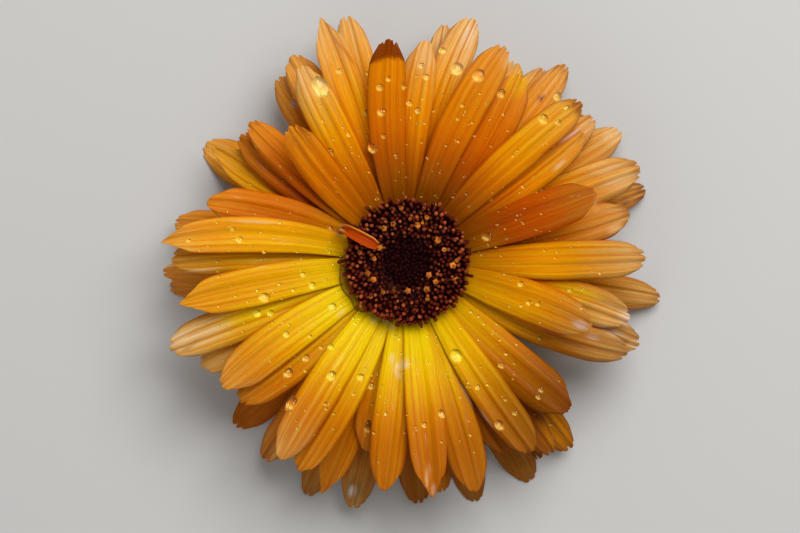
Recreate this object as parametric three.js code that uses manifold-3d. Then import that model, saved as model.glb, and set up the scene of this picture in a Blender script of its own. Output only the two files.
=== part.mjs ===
// A pot marigold flower (Calendula officinalis), picked just under the head and lying face up.
//
// It is a semi-double head. Sixty-six orange ray florets stand in overlapping tiers round a dark
// disc of tubular florets, and a green involucre of two rows of bracts holds them from below on a
// short stub of the stalk. The lowest ray florets droop until their tips lie on the surface.
//
// Millimetres, +Z up. The origin is the middle of the flat cut under the stalk, on the surface that
// the head lies on. +X and +Y are the right and the top of the head, seen from above.
import * as THREE from "three";
import { mergeVertices } from "three/addons/utils/BufferGeometryUtils.js";
import Module from "manifold-3d";

const wasm = await Module();
wasm.setup();

// Driving dimensions
const BLADE = 0.64; // thickness of a ray floret
const CLEARANCE = 0.4; // between one sub-part and the next
const STALK_RADIUS = 2.5; // of the cut under the head
const RECEPTACLE_TOP = 6.2; // height at which the florets sit on the green base
const COLLAR_TOP = 10.3; // height of the crown of fused floret tubes

// Ray florets
const ROOT_RADIUS = 6.6; // where a floret leaves its tube, inside the collar
const COLLAR_RADIUS = 7.3;
const LOWEST_ROOT = 7.2; // height of the root on tier 0
const TIER_STEP = 0.46; // height between the roots of two tiers
const SLOPE = [0.05, 0.5]; // rise over run at the root, on tier 0 and on tier 5
const BEND = [0.0325, 0.026]; // how fast that slope falls off, for each millimetre outwards
const TOP_TIER = 5;
const ROOT_SHARE = 0.52; // width at the root, as a share of the greatest width
const WIDEST = 0.62; // how far along a floret is widest
const SWELL = 1.15; // how late a floret widens
const SHOULDER = 3; // how squarely it narrows again to its tip
const RIDGE = 0.13; // height of the lengthwise ridges
const CUPPING = [0.6, 1.4]; // range of a floret's own share of its form's cup
const ROLL = 0.25; // most that one edge lies above the other's height
const LIFT_STARTS = 0.25; // how far along a floret that stands up begins to rise
const SOFT_LANDING = 0.6; // height over which a drooping floret bends flat on to the surface
const TIP_STARTS = 0.7; // how far along the tip's own outline begins

// Forms of the tip: its width as a share of the greatest width, how far back its outline lies from
// the furthest point at even steps from one side to the other, and how far the floret's edges lie
// above its middle, or below it where that is negative.
const TIPS = {
  toothed: { end: 0.62, back: [1.6, 0.4, 0.8, 0, 0.8, 0.4, 1.6], cup: -0.35 },
  round: { end: 0.56, back: [1.9, 0.45, 0, 0.45, 1.9], cup: -0.45 },
  pointed: { end: 0.48, back: [2.6, 1.1, 0, 1.1, 2.6], cup: 0.55 },
  notched: { end: 0.6, back: [1.6, 0, 0.6, 0.15, 1.6], cup: -0.4 },
};

// Each ray floret: azimuth of the tip, reach of the tip from the axis, greatest width, tier,
// azimuth of the root, form of the tip, and for the few that stand up, the lift of the tip.
// Tiers run from 0, which droops to the surface, to 6, which lies over all the others.
const RAY_FLORETS = [
  [1, 30.3, 5.0, 5.1, 0, "toothed"],
  [12.5, 29.0, 5.0, 4.1, 9, "toothed"],
  [17, 32.4, 4.2, 1.0, 17, "notched"],
  [20, 25.5, 5.2, 5.9, 20, "round", 3],
  [22, 32.2, 5.4, 3.3, 24, "toothed"],
  [31.5, 32.4, 4.8, 1.7, 31, "notched"],
  [36.7, 27.8, 4.8, 4.6, 34, "toothed"],
  [37.5, 30.3, 4.8, 2.6, 38.5, "notched"],
  [42.5, 29.9, 4.6, 5.5, 46, "toothed"],
  [51, 32.7, 4.0, 1.9, 50, "notched"],
  [54.8, 30.7, 3.8, 0.9, 55, "notched"],
  [59, 27.9, 5.1, 4.6, 54, "toothed"],
  [61, 29.6, 5.0, 0, 61, "notched"],
  [65.5, 30.0, 4.8, 5.5, 73, "toothed"],
  [71.3, 26.8, 4.0, 1.8, 71, "notched"],
  [74.8, 32.3, 4.7, 3.9, 83, "toothed"],
  [80.8, 30.9, 3.8, 2.9, 80, "notched"],
  [85, 28.3, 4.5, 4.8, 90, "round"],
  [94.5, 28.3, 4.9, 5.7, 101, "toothed"],
  [104, 32.6, 4.5, 2.4, 104, "notched"],
  [109.5, 33.1, 4.8, 4.3, 109, "pointed"],
  [118.5, 28.3, 4.8, 5.2, 121, "round"],
  [119.5, 30.3, 5.0, 3.0, 118, "toothed"],
  [125, 29.0, 4.6, 1.8, 125, "notched"],
  [131, 22.6, 4.6, 6, 136, "toothed", 3.4],
  [138.5, 26.8, 4.0, 4.6, 141, "toothed"],
  [142.8, 26.8, 4.6, 3.4, 146, "toothed"],
  [149.8, 29.2, 4.5, 2.4, 151, "pointed"],
  [150, 30.4, 5.4, 0, 150, "notched"],
  [163.5, 26.6, 4.9, 4.4, 157, "round"],
  [170.5, 30.4, 4.6, 1.6, 169, "notched"],
  [175.5, 31.3, 4.6, 5.2, 165.5, "pointed"],
  [179.6, 30.0, 4.8, 4.2, 174.5, "toothed"],
  [182.5, 31.5, 3.6, 2.2, 182, "notched"],
  [186, 31.0, 4.6, 0, 186, "notched"],
  [190.5, 29.4, 5.1, 5.4, 187.5, "pointed"],
  [200, 32.2, 5.0, 4.5, 199, "toothed"],
  [207, 29.6, 5.0, 3.6, 206, "toothed"],
  [214, 28.4, 5.4, 5.2, 209.5, "round"],
  [219.5, 27.8, 5.0, 4.2, 223, "toothed"],
  [223.5, 30.9, 4.8, 0, 226, "notched"],
  [234.2, 31.6, 4.6, 1.8, 235, "notched"],
  [237.3, 29.8, 4.9, 5.4, 235, "round"],
  [242.5, 29.9, 4.7, 4.5, 246, "toothed"],
  [246.8, 33.0, 4.4, 0.9, 247, "notched"],
  [249.8, 31.8, 4.5, 2.9, 251, "pointed"],
  [257.5, 32.6, 4.7, 1.9, 257, "notched"],
  [258, 24.8, 4.4, 3.7, 256, "round"],
  [264.2, 29.2, 4.8, 5.1, 264.5, "round"],
  [272.5, 31.4, 5.0, 0.8, 273, "notched"],
  [276.2, 30.1, 4.8, 5.8, 277, "pointed"],
  [278.5, 29.8, 4.4, 3.4, 279, "notched"],
  [286, 32.4, 4.6, 0, 287, "notched"],
  [286.7, 30.5, 5.1, 4.8, 288, "round"],
  [298, 27.4, 4.5, 4.0, 295, "notched"],
  [299.5, 32.7, 5.0, 0.5, 299, "notched"],
  [303.5, 28.8, 4.8, 5.5, 301.5, "toothed"],
  [304, 30.6, 3.8, 2.3, 304, "notched"],
  [307, 30.8, 4.3, 3.1, 307, "notched"],
  [311, 32.2, 4.8, 1.5, 311, "notched"],
  [317.5, 28.0, 5.8, 4.7, 314.5, "round"],
  [337.8, 30.4, 4.6, 4.2, 331, "toothed"],
  [340.5, 31.6, 4.8, 3.2, 341, "toothed"],
  [340.5, 24.6, 5.3, 6, 343.5, "round", 3],
  [345.5, 29.2, 5.0, 4.5, 350, "toothed"],
  [351.8, 33.2, 4.4, 1.3, 352, "notched"],
].map(([tip, reach, width, tier, root, form, lift = 0], index) => (
  { tip, reach, width, tier, root, form, lift, index }
));

// The stray ray floret that stands at the disc's edge and folds in over it
const STRAY_AZIMUTH = 152;
const STRAY_WIDTH = 1.9;
const STRAY_CUP = 0.3;
const STRAY_TIP = 0.7; // width at its tip, as a share
const STRAY_PATH = [
  [6.9, 9.6], [8.6, 10.6], [9.1, 12.4], [8.2, 14.2], [6.4, 14.9], [4.3, 14.6],
]; // radius and height

// Disc florets
const DISC_CORE = [
  [0, RECEPTACLE_TOP + CLEARANCE], [4.9, RECEPTACLE_TOP + CLEARANCE], [5.8, 10.2], [6.1, 10.8],
  [7.4, 11.3], [7.8, 11.8], [7.4, 12.2], [5.9, 12.5], [4, 12.1], [2, 11.7], [0, 11.5],
]; // outline from the axis out and back, radius and height
const DISC_FACE = DISC_CORE.slice(5).reverse(); // its top, from the axis out
const DISC_FLORETS = 84;
const DISC_FLORET_SPREAD = 7.4; // radius of the outermost floret's foot
const DISC_FLORET_RADIUS = [0.42, 0.58]; // at its foot and at its mouth
const DISC_FLORET_HEIGHT = [0.55, 1.15]; // in the middle of the disc and at its edge
const DISC_FLORET_ROOT = 0.6; // how deep a floret is sunk in the core
const DISC_FLORET_LEAN = 42; // degrees, at the edge of the disc
const GOLDEN_ANGLE = 137.508;

// Involucre
const CUP = [
  [0, 0], [STALK_RADIUS, 0], [STALK_RADIUS - 0.15, 1.3], [3.1, 2.1], [4.6, 3], [5.7, 4.1], [6.3, 5.2],
  [6.4, RECEPTACLE_TOP], [0, RECEPTACLE_TOP],
]; // outline of the stalk's stub and the green base
const BRACTS = 12; // in each of two rows
const BRACT_WIDTH = 2.3;
const BRACT_TIP = 0.14; // width at the tip, as a share
const BRACT_THICKNESS = 0.7;
const BRACT_KEEL = 0.22; // how far its midrib hangs below its edges
const STALK_RIBS = 8;
const BRACT_ROWS = [
  { foot: [3.9, 2.9], tip: [12.4, 4.7], sag: 0.5, turn: 0 },
  { foot: [5.2, 4.3], tip: [13, 5.5], sag: 0.25, turn: 0.5 },
]; // radius and height of foot and tip, how far the blade hangs below that line, and its turn in bracts

const radians = THREE.MathUtils.degToRad;
const { lerp, clamp } = THREE.MathUtils;

// A repeatable draw from 0 to 1 for one floret.
function draw(index, salt) {
  const wave = Math.sin(index * 12.9898 + salt * 78.233) * 43758.5453;
  return wave - Math.floor(wave);
}

function solid(positions, triangles) {
  return new wasm.Manifold(
    new wasm.Mesh({
      numProp: 3,
      vertProperties: new Float32Array(positions),
      triVerts: new Uint32Array(triangles),
    }),
  );
}

// A solid of revolution about Z, from an outline of [radius, height] that starts and ends on the
// axis or closes on itself. reshape may move its points.
function turned(outline, segments, reshape = () => {}) {
  const geometry = new THREE.LatheGeometry(outline.map(([r, z]) => new THREE.Vector2(r, z)), segments);
  geometry.rotateX(Math.PI / 2);
  geometry.deleteAttribute("normal");
  geometry.deleteAttribute("uv");
  const merged = mergeVertices(geometry, 1e-4);
  const positions = merged.attributes.position.array;
  reshape(positions);
  const index = merged.index.array;
  const triangles = [];
  for (let i = 0; i < index.length; i += 3) {
    const [a, b, c] = index.slice(i, i + 3);
    const flat = a === b || b === c || a === c;
    if (!flat) triangles.push(a, b, c);
  }
  return solid(positions, triangles);
}

// A closed thin blade. faces(t, u) gives its lower and upper point at t along and u from -1 to 1
// across, and both faces are split into triangles alike.
function blade(rows, columns, faces) {
  const positions = [];
  const triangles = [];
  const layer = (rows + 1) * (columns + 1);
  const at = (i, j) => i * (columns + 1) + j;
  const grid = [];
  for (let i = 0; i <= rows; i += 1) {
    for (let j = 0; j <= columns; j += 1) grid.push(faces(i / rows, (2 * j) / columns - 1));
  }
  grid.forEach(([lower]) => positions.push(...lower));
  grid.forEach(([, upper]) => positions.push(...upper));
  for (let i = 0; i < rows; i += 1) {
    for (let j = 0; j < columns; j += 1) {
      const corners = [at(i, j), at(i + 1, j), at(i + 1, j + 1), at(i, j + 1)];
      const leftHalf = j < columns / 2;
      const split = leftHalf ? [[0, 1, 3], [1, 2, 3]] : [[0, 1, 2], [0, 2, 3]];
      for (const [a, b, c] of split) {
        triangles.push(corners[a] + layer, corners[b] + layer, corners[c] + layer);
        triangles.push(corners[a], corners[c], corners[b]);
      }
    }
  }
  const rim = [];
  for (let i = 0; i < rows; i += 1) rim.push([at(i, 0), at(i + 1, 0)]);
  for (let j = 0; j < columns; j += 1) rim.push([at(rows, j), at(rows, j + 1)]);
  for (let i = rows; i > 0; i -= 1) rim.push([at(i, columns), at(i - 1, columns)]);
  for (let j = columns; j > 0; j -= 1) rim.push([at(0, j), at(0, j - 1)]);
  for (const [a, b] of rim) {
    triangles.push(a, b, b + layer);
    triangles.push(a, b + layer, a + layer);
  }
  return solid(positions, triangles);
}

// Ray florets

// Half the greatest width at t along, as a share: narrow at the root, full past the middle.
function outline(t, end) {
  const swell = Math.sin((Math.PI / 2) * Math.min(1, t / WIDEST)) ** SWELL;
  const past = Math.max(0, (t - WIDEST) / (1 - WIDEST));
  return lerp(ROOT_SHARE, 1, swell) * Math.sqrt(1 - (1 - end * end) * past ** SHOULDER);
}

// How far the tip lies back at u across, read between the even steps of its outline.
function tipBack(back, u) {
  const step = ((u + 1) / 2) * (back.length - 1);
  const first = Math.min(Math.floor(step), back.length - 2);
  return lerp(back[first], back[first + 1], step - first);
}

// The centre line, seen from above, at t along.
function centreLine(ray, t) {
  const azimuth = radians(lerp(ray.root, ray.tip, Math.max(0, t) ** 1.3));
  const radius = lerp(ROOT_RADIUS, ray.reach, t);
  return new THREE.Vector2(radius * Math.cos(azimuth), radius * Math.sin(azimuth));
}

// Height and slope of the centre line at a radius, before the floret meets the surface.
function tierProfile(ray, radius) {
  const share = ray.tier / TOP_TIER;
  const out = radius - ROOT_RADIUS;
  const start = lerp(SLOPE[0], SLOPE[1], share);
  const bend = lerp(BEND[0], BEND[1], share);
  return {
    height: LOWEST_ROOT + TIER_STEP * ray.tier + start * out - (bend * out * out) / 2,
    slope: start - bend * out,
  };
}

// A height that would pass below the floor bends flat on to it instead.
function landed(height, floor) {
  const over = height - floor + SOFT_LANDING;
  if (over <= 0) return floor;
  return over >= 2 * SOFT_LANDING ? height : floor + (over * over) / (4 * SOFT_LANDING);
}

// The lower and upper point of a floret at t along and u across.
function rayFaces(ray, t, u) {
  const form = TIPS[ray.form];
  const tipShare = clamp((t - TIP_STARTS) / (1 - TIP_STARTS), 0, 1) ** 2;
  const along = t - (tipBack(form.back, u) * tipShare) / (ray.reach - ROOT_RADIUS);
  const centre = centreLine(ray, along);
  const ahead = centreLine(ray, along + 0.01).sub(centreLine(ray, along - 0.01)).normalize();
  const across = u * (ray.width / 2) * outline(t, form.end);
  const x = centre.x - ahead.y * across;
  const y = centre.y + ahead.x * across;

  const profile = tierProfile(ray, centre.length());
  const rise = clamp((t - LIFT_STARTS) / (1 - LIFT_STARTS), 0, 1);
  const teeth = form.back.length === 7 ? Math.cos(3 * Math.PI * u) : -Math.cos(2 * Math.PI * u);
  const ridge = RIDGE * teeth * Math.min(1, 1.6 * t);
  const cup = form.cup * lerp(...CUPPING, draw(ray.index, 1)) * u * u * t;
  const roll = lerp(-ROLL, ROLL, draw(ray.index, 2)) * u * t;
  const height = landed(profile.height + ray.lift * rise ** 2 + ridge + cup + roll, BLADE / 2);
  const steepness = profile.slope + (2 * ray.lift * rise) / (ray.reach - ROOT_RADIUS);
  const half = (BLADE / 2) * Math.hypot(1, steepness);
  return [[x, y, Math.max(0, height - half)], [x, y, height + half]];
}

// The tubes at the feet of all ray florets, grown together in one crown.
function collar() {
  const foot = RECEPTACLE_TOP + CLEARANCE;
  const section = [
    [5.3, foot], [COLLAR_RADIUS - 0.4, foot], [COLLAR_RADIUS, 7.4], [COLLAR_RADIUS, COLLAR_TOP - 0.6],
    [COLLAR_RADIUS - 0.3, COLLAR_TOP], [6.2, COLLAR_TOP], [5.3, foot],
  ];
  return turned(section, 36);
}

function strayFloret() {
  const path = new THREE.CatmullRomCurve3(STRAY_PATH.map(([r, z]) => new THREE.Vector3(r, 0, z)));
  const turn = new THREE.Matrix4().makeRotationZ(radians(STRAY_AZIMUTH));
  return blade(9, 2, (t, u) => {
    const point = path.getPoint(t);
    const tangent = path.getTangent(t);
    const across = (STRAY_WIDTH / 2) * (t > 0.85 ? STRAY_TIP : 1) * u;
    return [-1, 1].map((side) => {
      const off = side * (BLADE / 2) - STRAY_CUP * u * u;
      const at = new THREE.Vector3(point.x - tangent.z * off, across, point.z + tangent.x * off);
      return at.applyMatrix4(turn).toArray();
    });
  });
}

function rayFlorets() {
  let made = collar();
  for (const ray of RAY_FLORETS) {
    const rows = ray.tier >= 4 ? 5 : 4;
    const columns = TIPS[ray.form].back.length - 1;
    made = made.add(blade(rows, columns, (t, u) => rayFaces(ray, t, u)));
  }
  return made.add(strayFloret());
}

// Disc florets

// Height of the core's face at a radius.
function discHeight(radius) {
  const next = DISC_FACE.findIndex(([r]) => r >= radius);
  const [r0, z0] = DISC_FACE[next - 1];
  const [r1, z1] = DISC_FACE[next];
  return lerp(z0, z1, (radius - r0) / (r1 - r0));
}

// One tubular floret: a five-sided tube that widens to its mouth and closes in a low point.
function discFloret(number) {
  const radius = DISC_FLORET_SPREAD * Math.sqrt((number + 0.5) / DISC_FLORETS);
  const share = radius / DISC_FLORET_SPREAD;
  const height = lerp(...DISC_FLORET_HEIGHT, share) * lerp(0.85, 1.15, draw(number, 5));
  const [foot, mouth] = DISC_FLORET_RADIUS;
  const section = [[0, -DISC_FLORET_ROOT], [foot, -DISC_FLORET_ROOT], [mouth, height], [0, height + 0.25]];
  const place = new THREE.Matrix4()
    .makeRotationZ(radians(number * GOLDEN_ANGLE))
    .multiply(new THREE.Matrix4().makeTranslation(radius, 0, discHeight(radius)))
    .multiply(new THREE.Matrix4().makeRotationY(radians(DISC_FLORET_LEAN * share ** 2)));
  return turned(section, 5, (positions) => {
    const point = new THREE.Vector3();
    for (let i = 0; i < positions.length; i += 3) {
      point.fromArray(positions, i).applyMatrix4(place).toArray(positions, i);
    }
  });
}

function discFlorets() {
  let made = turned(DISC_CORE, 24);
  for (let number = 0; number < DISC_FLORETS; number += 1) made = made.add(discFloret(number));
  return made;
}

// Involucre

// One bract: a pointed blade with a low keel, from its foot in the green base.
function bract(row, number) {
  const turn = new THREE.Matrix4().makeRotationZ(radians(((number + row.turn) * 360) / BRACTS));
  return blade(4, 2, (t, u) => {
    const side = Math.abs(u);
    const radius = lerp(row.foot[0], row.tip[0], t - 0.04 * side * t);
    const height = lerp(row.foot[1], row.tip[1], t) - row.sag * Math.sin(Math.PI * t) + BRACT_KEEL * side;
    const across = (BRACT_WIDTH / 2) * u * lerp(1, BRACT_TIP, t ** 1.8);
    const half = (BRACT_THICKNESS / 2) * (1 - 0.15 * t);
    return [height - half, height + half].map((z) => {
      return new THREE.Vector3(radius, across, z).applyMatrix4(turn).toArray();
    });
  });
}

// The stalk's stub has low ribs that fade out as it widens into the base.
function ribbed(positions) {
  for (let i = 0; i < positions.length; i += 3) {
    const [x, y, z] = positions.slice(i, i + 3);
    const rib = 1 + 0.05 * Math.cos(STALK_RIBS * Math.atan2(y, x)) * clamp(1 - z / 3, 0, 1);
    positions[i] = x * rib;
    positions[i + 1] = y * rib;
  }
}

function involucre() {
  let made = turned(CUP, 24, ribbed);
  for (const row of BRACT_ROWS) {
    for (let number = 0; number < BRACTS; number += 1) made = made.add(bract(row, number));
  }
  return made;
}

// The flower

function named(name, made, colour, roughness) {
  const { numProp, vertProperties, triVerts } = made.getMesh();
  const positions = new Float32Array((vertProperties.length / numProp) * 3);
  for (let i = 0; i < positions.length / 3; i += 1) {
    positions.set(vertProperties.subarray(i * numProp, i * numProp + 3), 3 * i);
  }
  const geometry = new THREE.BufferGeometry();
  geometry.setAttribute("position", new THREE.BufferAttribute(positions, 3));
  geometry.setIndex(new THREE.BufferAttribute(triVerts, 1));
  geometry.computeVertexNormals();
  const finish = { color: colour, roughness, metalness: 0, flatShading: true };
  const mesh = new THREE.Mesh(geometry, new THREE.MeshStandardMaterial(finish));
  mesh.name = name;
  return mesh;
}

const flower = new THREE.Group();
flower.add(named("involucre", involucre(), 0x5d7a34, 0.75));
flower.add(named("ray_florets", rayFlorets(), 0xe08a12, 0.5));
flower.add(named("disc_florets", discFlorets(), 0x3a1210, 0.7));

export default flower;
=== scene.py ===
"""A pot marigold head (Calendula officinalis), picked and laid face up, dressed for the render.

Everything is built in millimetres, from named values like those of the solids, and scaled to metres
when a mesh is made. Azimuths are in degrees, counted from the picture's right towards its top.
"""
import math

import bpy
import numpy as np
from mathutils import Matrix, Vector
from mathutils.bvhtree import BVHTree


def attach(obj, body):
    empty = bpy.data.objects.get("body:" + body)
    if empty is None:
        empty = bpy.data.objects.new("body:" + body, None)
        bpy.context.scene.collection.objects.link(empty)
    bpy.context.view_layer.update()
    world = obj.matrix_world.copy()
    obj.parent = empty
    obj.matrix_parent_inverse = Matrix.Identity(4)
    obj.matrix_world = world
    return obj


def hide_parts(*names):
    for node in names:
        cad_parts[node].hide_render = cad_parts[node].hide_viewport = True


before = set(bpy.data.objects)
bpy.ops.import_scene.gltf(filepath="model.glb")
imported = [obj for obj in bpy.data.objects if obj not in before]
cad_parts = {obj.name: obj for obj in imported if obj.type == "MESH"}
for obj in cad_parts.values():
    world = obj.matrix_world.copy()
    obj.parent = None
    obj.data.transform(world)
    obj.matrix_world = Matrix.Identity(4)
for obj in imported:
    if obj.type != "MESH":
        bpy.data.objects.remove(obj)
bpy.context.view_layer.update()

MM = 0.001
GOLDEN_ANGLE = 137.508
PIXEL = 0.13  # millimetres to a pixel of the photograph, for places measured from the disc's middle
DISC_PIXEL = (407, 262)
LIGHT_FROM = 60  # azimuth of the main light
SEEDS = {"ray": 1000, "stray": 77, "disc": 5, "bracts": 21, "rain": 8}  # of the random draws

# Ray florets, as in the solids
ROOT_RADIUS = 6.6
LOWEST_ROOT = 7.2  # height of the root on tier 0
TIER_STEP = 0.46
SLOPE = (0.05, 0.5)  # at the root, on tier 0 and on the top tier
BEND = (0.0325, 0.026)  # how fast that slope falls off outwards
TOP_TIER = 5
WIDEST = 0.62
SWELL = 1.15
RIDGE = 0.13
CUPPING = (0.6, 1.4)
ROLL = 0.25
LIFT_STARTS = 0.25
SOFT_LANDING = 0.6
TIP_STARTS = 0.7

# Ray florets, finer than in the solids
ROOT_SHARE = 0.56
HALF_BLADE = 0.15  # half the thickness
HALF_EDGE = 0.045  # half the thickness at the rim
RAY_ROWS = 46
RAY_COLUMNS = 34
CREASES = 2.5  # across half a floret
CREASE_DEPTH = 0.07
STRIA_HEIGHT = 0.008
RIPPLE = 0.10  # of the edges, up and down
SWAY = 0.09  # of the whole blade, up and down
WOBBLE = 0.022  # of the outline

# Tip width as a share, how squarely the blade narrows to it, how far the corners lie back and how
# squarely, height of the edges over the middle, ridges across half a floret, and the nicks in the
# tip: place across and depth.
TIPS = {
    "toothed": (0.70, 3.6, 1.7, 2.7, -0.35, 1.5, [(-0.36, 0.5), (0.34, 0.5), (-0.72, 0.2), (0.7, 0.2)]),
    "round": (0.66, 3.4, 2.0, 2.2, -0.45, 1.0, [(-0.3, 0.14), (0.25, 0.18), (0.6, 0.1)]),
    "pointed": (0.58, 2.2, 2.7, 1.25, 0.55, 1.0, [(-0.45, 0.12), (0.4, 0.12)]),
    "notched": (0.68, 3.6, 1.7, 2.6, -0.4, 1.0, [(0.02, 0.55), (-0.5, 0.15), (0.55, 0.2)]),
}

# Each ray floret: azimuth of the tip, reach, greatest width, tier, azimuth of the root, form of the
# tip, lift of the tip, then how peach and how brown the tip is, and how red the whole floret is, or
# how golden where that is below 0. This red and gold are partly the floret's own colour and partly
# painted shade and painted light: redder and darker on florets that lie in shade, golden to lighten
# other florets that lie in shade.
RAY_FLORETS = [
    (1, 30.3, 5.0, 5.1, 0, "toothed", 0, 0.8, 0.3, -0.6),
    (12.5, 29.0, 5.0, 4.1, 9, "toothed", 0, 0.6, 0.6, 0.3),
    (17, 32.4, 4.2, 1.0, 17, "notched", 0, 0.6, 0.8, 0.1),
    (20, 25.5, 5.2, 5.9, 20, "round", 3, 0.15, 0.1, 0.8),
    (22, 32.2, 5.4, 3.3, 24, "toothed", 0, 0.85, 0.5, -0.2),
    (31.5, 32.4, 4.8, 1.7, 31, "notched", 0, 0.8, 0.1, 0.0),
    (36.7, 27.8, 4.8, 4.6, 34, "toothed", 0, 0.3, 0.3, -0.2),
    (37.5, 30.3, 4.8, 2.6, 38.5, "notched", 0, 0.6, 0.5, 0.2),
    (42.5, 29.9, 4.6, 5.5, 46, "toothed", 0, 0.3, 0.7, -0.2),
    (51, 32.7, 4.0, 1.9, 50, "notched", 0, 0.6, 0.6, 0.1),
    (54.8, 30.7, 3.8, 0.9, 55, "notched", 0, 0.8, 0.3, 0.0),
    (59, 27.9, 5.1, 4.6, 54, "toothed", 0, 0.15, 0.1, 0.4),
    (61, 29.6, 5.0, 0, 61, "notched", 0, 0.6, 0.2, -0.2),
    (65.5, 30.0, 4.8, 5.5, 73, "toothed", 0, 0.25, 0.2, 0.2),
    (71.3, 26.8, 4.0, 1.8, 71, "notched", 0, 0.4, 0.1, 0.2),
    (74.8, 32.3, 4.7, 3.9, 83, "toothed", 0, 1.0, 0.05, -0.4),
    (80.8, 30.9, 3.8, 2.9, 80, "notched", 0, 0.9, 0.3, 0.0),
    (85, 28.3, 4.5, 4.8, 90, "round", 0, 0.6, 0.1, -0.3),
    (94.5, 28.3, 4.9, 5.7, 101, "toothed", 0, 0.0, 0.3, 0.4),
    (104, 32.6, 4.5, 2.4, 104, "notched", 0, 0.8, 0.1, -0.1),
    (109.5, 33.1, 4.8, 4.3, 109, "pointed", 0, 0.8, 0.1, -0.1),
    (118.5, 28.3, 4.8, 5.2, 121, "round", 0, 0.9, 0.1, -0.5),
    (119.5, 30.3, 5.0, 3.0, 118, "toothed", 0, 0.5, 0.2, -0.2),
    (125, 29.0, 4.6, 1.8, 125, "notched", 0, 0.4, 0.2, 0.2),
    (131, 22.6, 4.6, 6, 136, "toothed", 3.4, 0.1, 0.1, 0.1),
    (138.5, 26.8, 4.0, 4.6, 141, "toothed", 0, 0.1, 0.3, 0.7),
    (142.8, 26.8, 4.6, 3.4, 146, "toothed", 0, 0.1, 0.3, 0.7),
    (149.8, 29.2, 4.5, 2.4, 151, "pointed", 0, 0.2, 0.1, -0.7),
    (150, 30.4, 5.4, 0, 150, "notched", 0, 0.4, 0.1, -0.8),
    (163.5, 26.6, 4.9, 4.4, 157, "round", 0, 0.1, 0.1, 0.5),
    (170.5, 30.4, 4.6, 1.6, 169, "notched", 0, 0.3, 0.1, -0.2),
    (175.5, 31.3, 4.6, 5.2, 165.5, "pointed", 0, 0.3, 0.2, -0.5),
    (179.6, 30.0, 4.8, 4.2, 174.5, "toothed", 0, 0.3, 0.2, -0.8),
    (182.5, 31.5, 3.6, 2.2, 182, "notched", 0, 0.3, 0.2, 0.1),
    (186, 31.0, 4.6, 0, 186, "notched", 0, 0.3, 0.2, 0.1),
    (190.5, 29.4, 5.1, 5.4, 187.5, "pointed", 0, 0.1, 0.1, -0.1),
    (200, 32.2, 5.0, 4.5, 199, "toothed", 0, 1.0, 0.1, -0.6),
    (207, 29.6, 5.0, 3.6, 206, "toothed", 0, 0.8, 0.2, -0.4),
    (214, 28.4, 5.4, 5.2, 209.5, "round", 0, 0.3, 0.15, 0.0),
    (219.5, 27.8, 5.0, 4.2, 223, "toothed", 0, 0.1, 0.3, 0.2),
    (223.5, 30.9, 4.8, 0, 226, "notched", 0, 0.1, 0.2, 0.2),
    (234.2, 31.6, 4.6, 1.8, 235, "notched", 0, 0.3, 0.3, 0.1),
    (237.3, 29.8, 4.9, 5.4, 235, "round", 0, 0.45, 0.1, -0.4),
    (242.5, 29.9, 4.7, 4.5, 246, "toothed", 0, 0.1, 0.1, -0.5),
    (246.8, 33.0, 4.4, 0.9, 247, "notched", 0, 0.4, 0.3, 0.0),
    (249.8, 31.8, 4.5, 2.9, 251, "pointed", 0, 0.1, 0.1, -0.3),
    (257.5, 32.6, 4.7, 1.9, 257, "notched", 0, 0.7, 0.2, 0.0),
    (258, 24.8, 4.4, 3.7, 256, "round", 0, 0.1, 0.1, 0.3),
    (264.2, 29.2, 4.8, 5.1, 264.5, "round", 0, 0.05, 0.1, 0.0),
    (272.5, 31.4, 5.0, 0.8, 273, "notched", 0, 0.2, 0.2, 0.1),
    (276.2, 30.1, 4.8, 5.8, 277, "pointed", 0, 0.05, 0.1, 0.1),
    (278.5, 29.8, 4.4, 3.4, 279, "notched", 0, 0.1, 0.2, 0.1),
    (286, 32.4, 4.6, 0, 287, "notched", 0, 0.3, 0.3, 0.1),
    (286.7, 30.5, 5.1, 4.8, 288, "round", 0, 0.1, 0.1, -0.2),
    (298, 27.4, 4.5, 4.0, 295, "notched", 0, 0.1, 0.1, 0.1),
    (299.5, 32.7, 5.0, 0.5, 299, "notched", 0, 0.3, 0.3, 0.1),
    (303.5, 28.8, 4.8, 5.5, 301.5, "toothed", 0, 0.1, 0.2, -0.2),
    (304, 30.6, 3.8, 2.3, 304, "notched", 0, 0.2, 0.3, 0.2),
    (307, 30.8, 4.3, 3.1, 307, "notched", 0, 0.15, 0.3, 0.3),
    (311, 32.2, 4.8, 1.5, 311, "notched", 0, 0.2, 0.4, 0.2),
    (317.5, 28.0, 5.8, 4.7, 314.5, "round", 0, 0.05, 0.6, 0.2),
    (337.8, 30.4, 4.6, 4.2, 331, "toothed", 0, 0.8, 0.3, 0.1),
    (340.5, 31.6, 4.8, 3.2, 341, "toothed", 0, 0.8, 0.4, -0.2),
    (340.5, 24.6, 5.3, 6, 343.5, "round", 3, 0.35, 0.2, -0.4),
    (345.5, 29.2, 5.0, 4.5, 350, "toothed", 0, 0.9, 0.2, -0.7),
    (351.8, 33.2, 4.4, 1.3, 352, "notched", 0, 0.8, 0.2, 0.0),
]
RAY_FIELDS = ("tip", "reach", "width", "tier", "root", "form", "lift", "peach", "brown", "red_light_and_shade")
MIDDLE_FROM = 2.5  # lowest tiers of the middle piece and of the top piece
TOP_FROM = 4.65
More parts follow.
